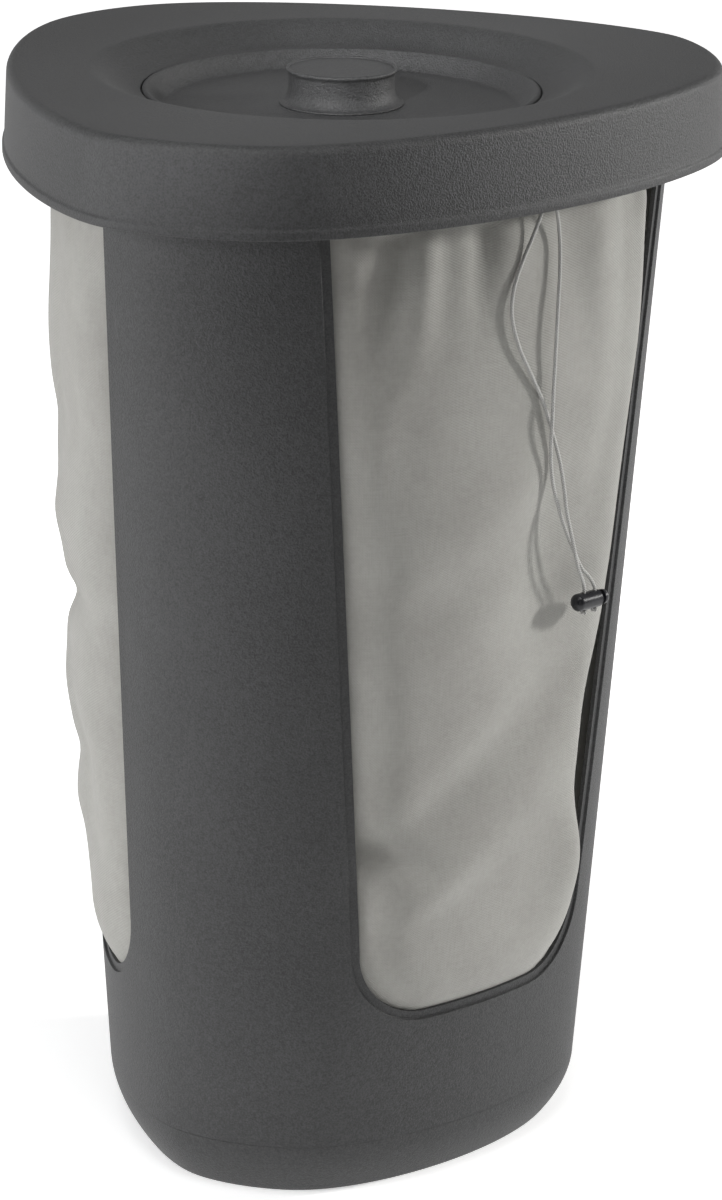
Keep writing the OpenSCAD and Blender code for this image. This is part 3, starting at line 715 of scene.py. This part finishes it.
class Shader:
    # the node tree of a material, or of another owner; node() adds one node with its settings
    # and its sockets' values
    def __init__(self, name, owner=None):
        self.owner = owner or bpy.data.materials.new(name)
        self.owner.use_nodes = True
        self.tree = self.owner.node_tree
        self.surface = self.tree.nodes.get("Principled BSDF")

    def put(self, socket, value):
        if isinstance(value, Value):
            self.tree.links.new(value.socket, socket)
        else:
            socket.default_value = value

    def node(self, kind, settings=None, inputs=None, out=0):
        made = self.tree.nodes.new("ShaderNode" + kind)
        for key, value in (settings or {}).items():
            setattr(made, key, value)
        for key, value in (inputs or {}).items():
            self.put(made.inputs[key], value)
        return Value(self, made.outputs[out])

    def clamp(self, value, low, high):
        # 0 below low, 1 above high, and a smooth step between
        return self.node("MapRange", {"interpolation_type": "SMOOTHSTEP"},
                         {"Value": value, "From Min": low, "From Max": high})

    def noise(self, vector, scale, detail=2.0, rough=0.5):
        return self.node("TexNoise", {}, {"Vector": vector, "Scale": scale, "Detail": detail,
                                          "Roughness": rough})

    def split(self, vector):
        outputs = self.node("SeparateXYZ", {}, {0: vector}).socket.node.outputs
        return [Value(self, socket) for socket in outputs]

    def stretch(self, vector, scale):
        return self.node("Mapping", {}, {"Vector": vector, "Scale": scale})

    def mix(self, factor, first, second):
        return self.node("Mix", {"data_type": "RGBA"}, {0: factor, 6: first, 7: second}, 2)

    def finish(self, inputs, bumps=()):
        for key, value in inputs.items():
            self.put(self.surface.inputs[key], value)
        normal = None
        for height, strength, distance in bumps:
            wanted = {"Height": height, "Strength": strength, "Distance": distance}
            if normal is not None:
                wanted["Normal"] = normal
            normal = self.node("Bump", {}, wanted)
        if normal is not None:
            self.put(self.surface.inputs["Normal"], normal)
        return self.owner


def colour(r, g, b):
    return r, g, b, 1.0


def grey(level):
    return colour(level, level, level)


def anthracitePlastic():
    # a spark-eroded grain of two noises, faint cloudiness, light rubbing, and the fine line where
    # the mould's two halves meet low on the basket
    s = Shader("anthracitePlastic")
    place = s.node("TexCoord", {}, {}, 3)
    grain = s.noise(place, 900.0, 2.0, 0.6)
    peel = s.noise(place, 330.0, 3.0, 0.55)
    cloud = s.noise(place, 9.0, 3.0, 0.5)
    scuff = s.noise(s.stretch(place, (60.0, 60.0, 14.0)), 2.2, 4.0, 0.7)
    worn = s.clamp(scuff, 0.62, 0.78)
    dark, light = colour(0.020, 0.0202, 0.0208), colour(0.056, 0.0566, 0.0578)
    tone = s.mix(s.clamp(peel * 0.3 + grain * 0.55 + cloud * 0.2, 0.36, 0.70), dark, light)
    tone = s.mix(worn * 0.10, tone, colour(0.12, 0.12, 0.12))
    seamLine = basket["seam"] * millimetre
    seam = s.clamp(s.split(place)[2], seamLine - 0.0005, seamLine + 0.0005)
    rough = 0.46 + 0.14 * peel + 0.05 * cloud
    return s.finish({"Base Color": tone, "Roughness": rough, "IOR": 1.5, "Specular IOR Level": 0.5},
                    [(peel, 0.34, 0.0006), (grain, 0.8, 0.0007), (seam, 1.0, 0.0012)])


# lengths along the cloth and the cord in metres, and the braid's waves round the cord
weave = {"pitch": 0.0016, "braid": 0.0034, "braidWaves": 4}


def bagCloth(name):
    # a plain weave: warp and weft waves crossed over each other, uneven threads, soft tone changes
    s = Shader(name)
    uv = s.node("UVMap", {"uv_map": "cloth"}, {})
    place = s.node("TexCoord", {}, {}, 3)
    u, v, _ = s.split(uv)
    pitch = 2 * np.pi / weave["pitch"]
    warp = (u * pitch).maths("SINE")
    weft = (v * pitch).maths("SINE")
    crossing = warp * weft
    warpSlub = s.noise(s.stretch(uv, (1500.0, 90.0, 1.0)), 1.0, 2.0, 0.6)
    weftSlub = s.noise(s.stretch(uv, (90.0, 1500.0, 1.0)), 1.0, 2.0, 0.6)
    slub = warpSlub + weftSlub
    cloud = s.noise(place, 14.0, 4.0, 0.6)
    nap = s.noise(place, 260.0, 3.0, 0.6)
    thread, paleThread = colour(0.335, 0.331, 0.309), colour(0.385, 0.381, 0.357)
    tone = s.mix(s.clamp(slub * 0.5, 0.33, 0.67), thread, paleThread)
    tone = s.mix(s.clamp(cloud, 0.3, 0.7) * 0.6, tone, colour(0.285, 0.277, 0.258))
    tone = s.mix(s.clamp(nap, 0.35, 0.65) * 0.22, tone, colour(0.41, 0.407, 0.382))
    tone = s.mix(s.clamp(crossing, -1.0, 1.0) * 0.12, tone, colour(0.30, 0.295, 0.275))
    rough = 0.86 + 0.1 * nap
    surface = {"Base Color": tone, "Roughness": rough, "Specular IOR Level": 0.2,
               "Sheen Weight": 0.25, "Sheen Roughness": 0.5}
    return s.finish(surface, [(cloud, 0.25, 0.004), (slub, 0.15, 0.0003), (crossing, 0.4, 0.0003)])


def braidedCord():
    # strands that cross both ways round the cord: two diagonal waves, the larger on top, with painted
    # shade darkening the grooves between them and the crests painted lighter
    s = Shader("braidedCord")
    uv = s.node("UVMap", {"uv_map": "cloth"}, {})
    u, v, _ = s.split(uv)
    turned = u * (2 * np.pi * weave["braidWaves"])
    along = v * (4 * np.pi / weave["braid"])
    over = (turned + along).maths("SINE")
    under = (turned - along).maths("SINE")
    strands = over.maths("MAXIMUM", under)
    place = s.node("TexCoord", {}, {}, 3)
    fuzz = s.noise(place, 1400.0, 2.0, 0.6)
    # painted shade: the tone goes from dark in the grooves between the strands to light on their crests
    tone = s.mix(s.clamp(strands, -0.4, 1.0), colour(0.30, 0.295, 0.285), colour(0.56, 0.555, 0.54))
    tone = s.mix(s.clamp(fuzz, 0.35, 0.65) * 0.2, tone, colour(0.62, 0.615, 0.60))
    return s.finish({"Base Color": tone, "Roughness": 0.7 + 0.2 * fuzz, "Specular IOR Level": 0.3,
                     "Sheen Weight": 0.15}, [(strands, 0.5, 0.0003), (fuzz, 0.2, 0.0002)])


def blackPlastic():
    # a smooth moulding with a trace of grain, greyer where it is rubbed
    s = Shader("blackPlastic")
    place = s.node("TexCoord", {}, {}, 3)
    grain = s.noise(place, 1500.0, 2.0, 0.5)
    rub = s.noise(place, 180.0, 3.0, 0.6)
    tone = s.mix(s.clamp(rub, 0.45, 0.75), colour(0.010, 0.010, 0.013), colour(0.022, 0.022, 0.027))
    return s.finish({"Base Color": tone, "Roughness": 0.22 + 0.16 * rub, "IOR": 1.5},
                    [(grain, 0.15, 0.0001)])


def steel(name, base):
    # drawn metal with fine streaks along its length
    s = Shader(name)
    place = s.node("TexCoord", {}, {}, 3)
    streak = s.noise(s.stretch(place, (900.0, 900.0, 120.0)), 1.0, 3.0, 0.6)
    tone = s.mix(s.clamp(streak, 0.3, 0.7), base, colour(0.72, 0.72, 0.74))
    return s.finish({"Base Color": tone, "Metallic": 1.0, "Roughness": 0.25 + 0.2 * streak},
                    [(streak, 0.1, 0.0001)])


def wear(piece, material):
    piece.data.materials.clear()
    piece.data.materials.append(material)


plastic = anthracitePlastic()
cloth = bagCloth("bagCloth")
hemCloth = bagCloth("bagHemCloth")
braid = braidedCord()
black = blackPlastic()
for piece in (basketPiece, outerLid, innerLid, lidKnob, knobCap):
    wear(piece, plastic)
for piece in (bagWall, bagBottom):
    wear(piece, cloth)
wear(bagHem, hemCloth)
for piece in (cordLeft, cordRight, hemCord, knotLeft, knotRight):
    wear(piece, braid)
for name in ("cord_lock_body", "cord_lock_plunger"):
    wear(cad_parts[name], black)
wear(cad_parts["cord_lock_spring"], steel("springWire", colour(0.5, 0.5, 0.52)))
wear(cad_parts["knob_screw"], steel("screwSteel", colour(0.45, 0.45, 0.47)))
print("stage: materials")


# the sheet's half width and height, how far in front its glow reaches, and how bright it is
floorSheet = {"half": 9000.0, "height": -0.02, "near": 0.4, "far": 1.25, "lit": 0.8}


def cameraWay():
    # the level direction from the hamper towards the camera
    a = np.radians(view["azimuth"])
    return np.sin(a), -np.cos(a), 0


def makeFloor():
    # a pale flat sheet that glows to light the hamper from below and behind, and fades out in front;
    # seen itself, it is a pale tone that darkens a little towards the hamper, where its glow is weaker:
    # painted shade round the hamper's foot
    line = np.linspace(-floorSheet["half"], floorSheet["half"], 7)
    x, y = np.meshgrid(line, line)
    points = np.stack([x, y, 0 * x + floorSheet["height"]], -1).reshape(-1, 3) * millimetre
    mesh = bpy.data.meshes.new("floor")
    mesh.from_pydata(points.tolist(), [], gridFaces(7, 7).tolist())
    floor = bpy.data.objects.new("floor", mesh)
    scene.collection.objects.link(floor)
    s = Shader("paperFloor")
    place = s.node("TexCoord", {}, {}, 3)
    seen = s.node("LightPath")
    before = s.node("VectorMath", {"operation": "DOT_PRODUCT"}, {0: place, 1: cameraWay()}, 1)
    pool = s.clamp(before, floorSheet["far"], floorSheet["near"])
    tone = s.mix(s.noise(place, 3.0), grey(0.90), grey(0.93))
    tone = s.mix(seen, grey(0.4), tone)
    away = s.node("VectorMath", {"operation": "LENGTH"}, {0: place}, 1)
    # painted shade: the glow the camera sees is dimmer near the hamper than far from it
    shown = s.mix(s.clamp(away, 0.3, 1.2), grey(0.5), grey(0.85))
    glow = s.mix(seen, s.mix(pool, grey(0), grey(floorSheet["lit"])), shown)
    paper = s.finish({"Base Color": tone, "Roughness": 0.9, "Specular IOR Level": 0.1,
                      "Emission Color": glow, "Emission Strength": 1.0})
    floor.data.materials.append(paper)


lights = {
    # azimuth round the hamper, elevation, distance, width, height, power, tint
    "rightBox": (57, 18, 2.2, 0.24, 0.28, 31, (1.0, 0.99, 0.97)),
    "leftBox": (-110, 8, 2.2, 0.9, 1.8, 34, (0.99, 0.99, 1.0)),
    "frontFill": (-40, 12, 2.6, 1.6, 1.6, 3, (1.0, 1.0, 1.0)),
    "topBox": (-50, 62, 2.4, 1.2, 1.2, 20, (1.0, 1.0, 1.0)),
}
knobSpot = {"azimuth": -62, "elevation": 21, "distance": 3.0, "reach": 0.10, "aim": 0.70,
            "blend": 0.8, "size": 0.12, "power": 900}
lampAim = 0.35
room = {"behind": 0.62, "before": 0.05, "over": 0.4, "seen": 1.2}


def placeLamp(name, data, azimuth, elevation, distance, height):
    # a lamp that looks at a point on the hamper's axis from azimuth, elevation and distance
    a, e = np.radians(azimuth), np.radians(elevation)
    back = Vector((np.sin(a) * np.cos(e), -np.cos(a) * np.cos(e), np.sin(e)))
    lamp = bpy.data.objects.new(name, data)
    scene.collection.objects.link(lamp)
    lamp.location = Vector((0, 0, height)) + back * distance
    lamp.rotation_euler = (-back).to_track_quat("-Z", "Y").to_euler()


def makeLights():
    for name, (azimuth, elevation, distance, width, height, power, tint) in lights.items():
        data = bpy.data.lights.new(name, "AREA")
        data.shape, data.size, data.size_y = "RECTANGLE", width, height
        data.energy, data.color = power, tint
        placeLamp(name, data, azimuth, elevation, distance, lampAim)
    spot = bpy.data.lights.new("knobSpot", "SPOT")
    spot.energy = knobSpot["power"]
    spot.spot_size = 2 * np.arctan(knobSpot["reach"] / knobSpot["distance"])
    spot.spot_blend = knobSpot["blend"]
    spot.shadow_soft_size = knobSpot["size"]
    placeLamp("knobSpot", spot, knobSpot["azimuth"], knobSpot["elevation"], knobSpot["distance"],
              knobSpot["aim"])


def makeRoom():
    # pale walls at the sides and behind, darker overhead and where the camera stands, and plain
    # white as the backdrop itself
    world = bpy.data.worlds.new("studio")
    s = Shader("studio", world)
    place = s.node("TexCoord")
    before = s.node("VectorMath", {"operation": "DOT_PRODUCT"}, {0: place, 1: cameraWay()}, 1)
    wall = room["behind"] + s.clamp(before, -0.3, 0.8) * (room["before"] - room["behind"])
    rising = s.split(place)[2]
    over = 1.0 + s.clamp(rising, 0.1, 0.8) * (room["over"] - 1.0)
    seen = s.node("LightPath")
    shown = s.node("Mix", {"data_type": "FLOAT"}, {0: seen, 2: wall * over, 3: room["seen"]})
    backdrop = s.tree.nodes["Background"]
    s.put(backdrop.inputs["Strength"], shown)
    s.put(backdrop.inputs["Color"], grey(1.0))
    scene.world = world


makeFloor()
makeLights()
makeRoom()
print("stage: floor and lights")
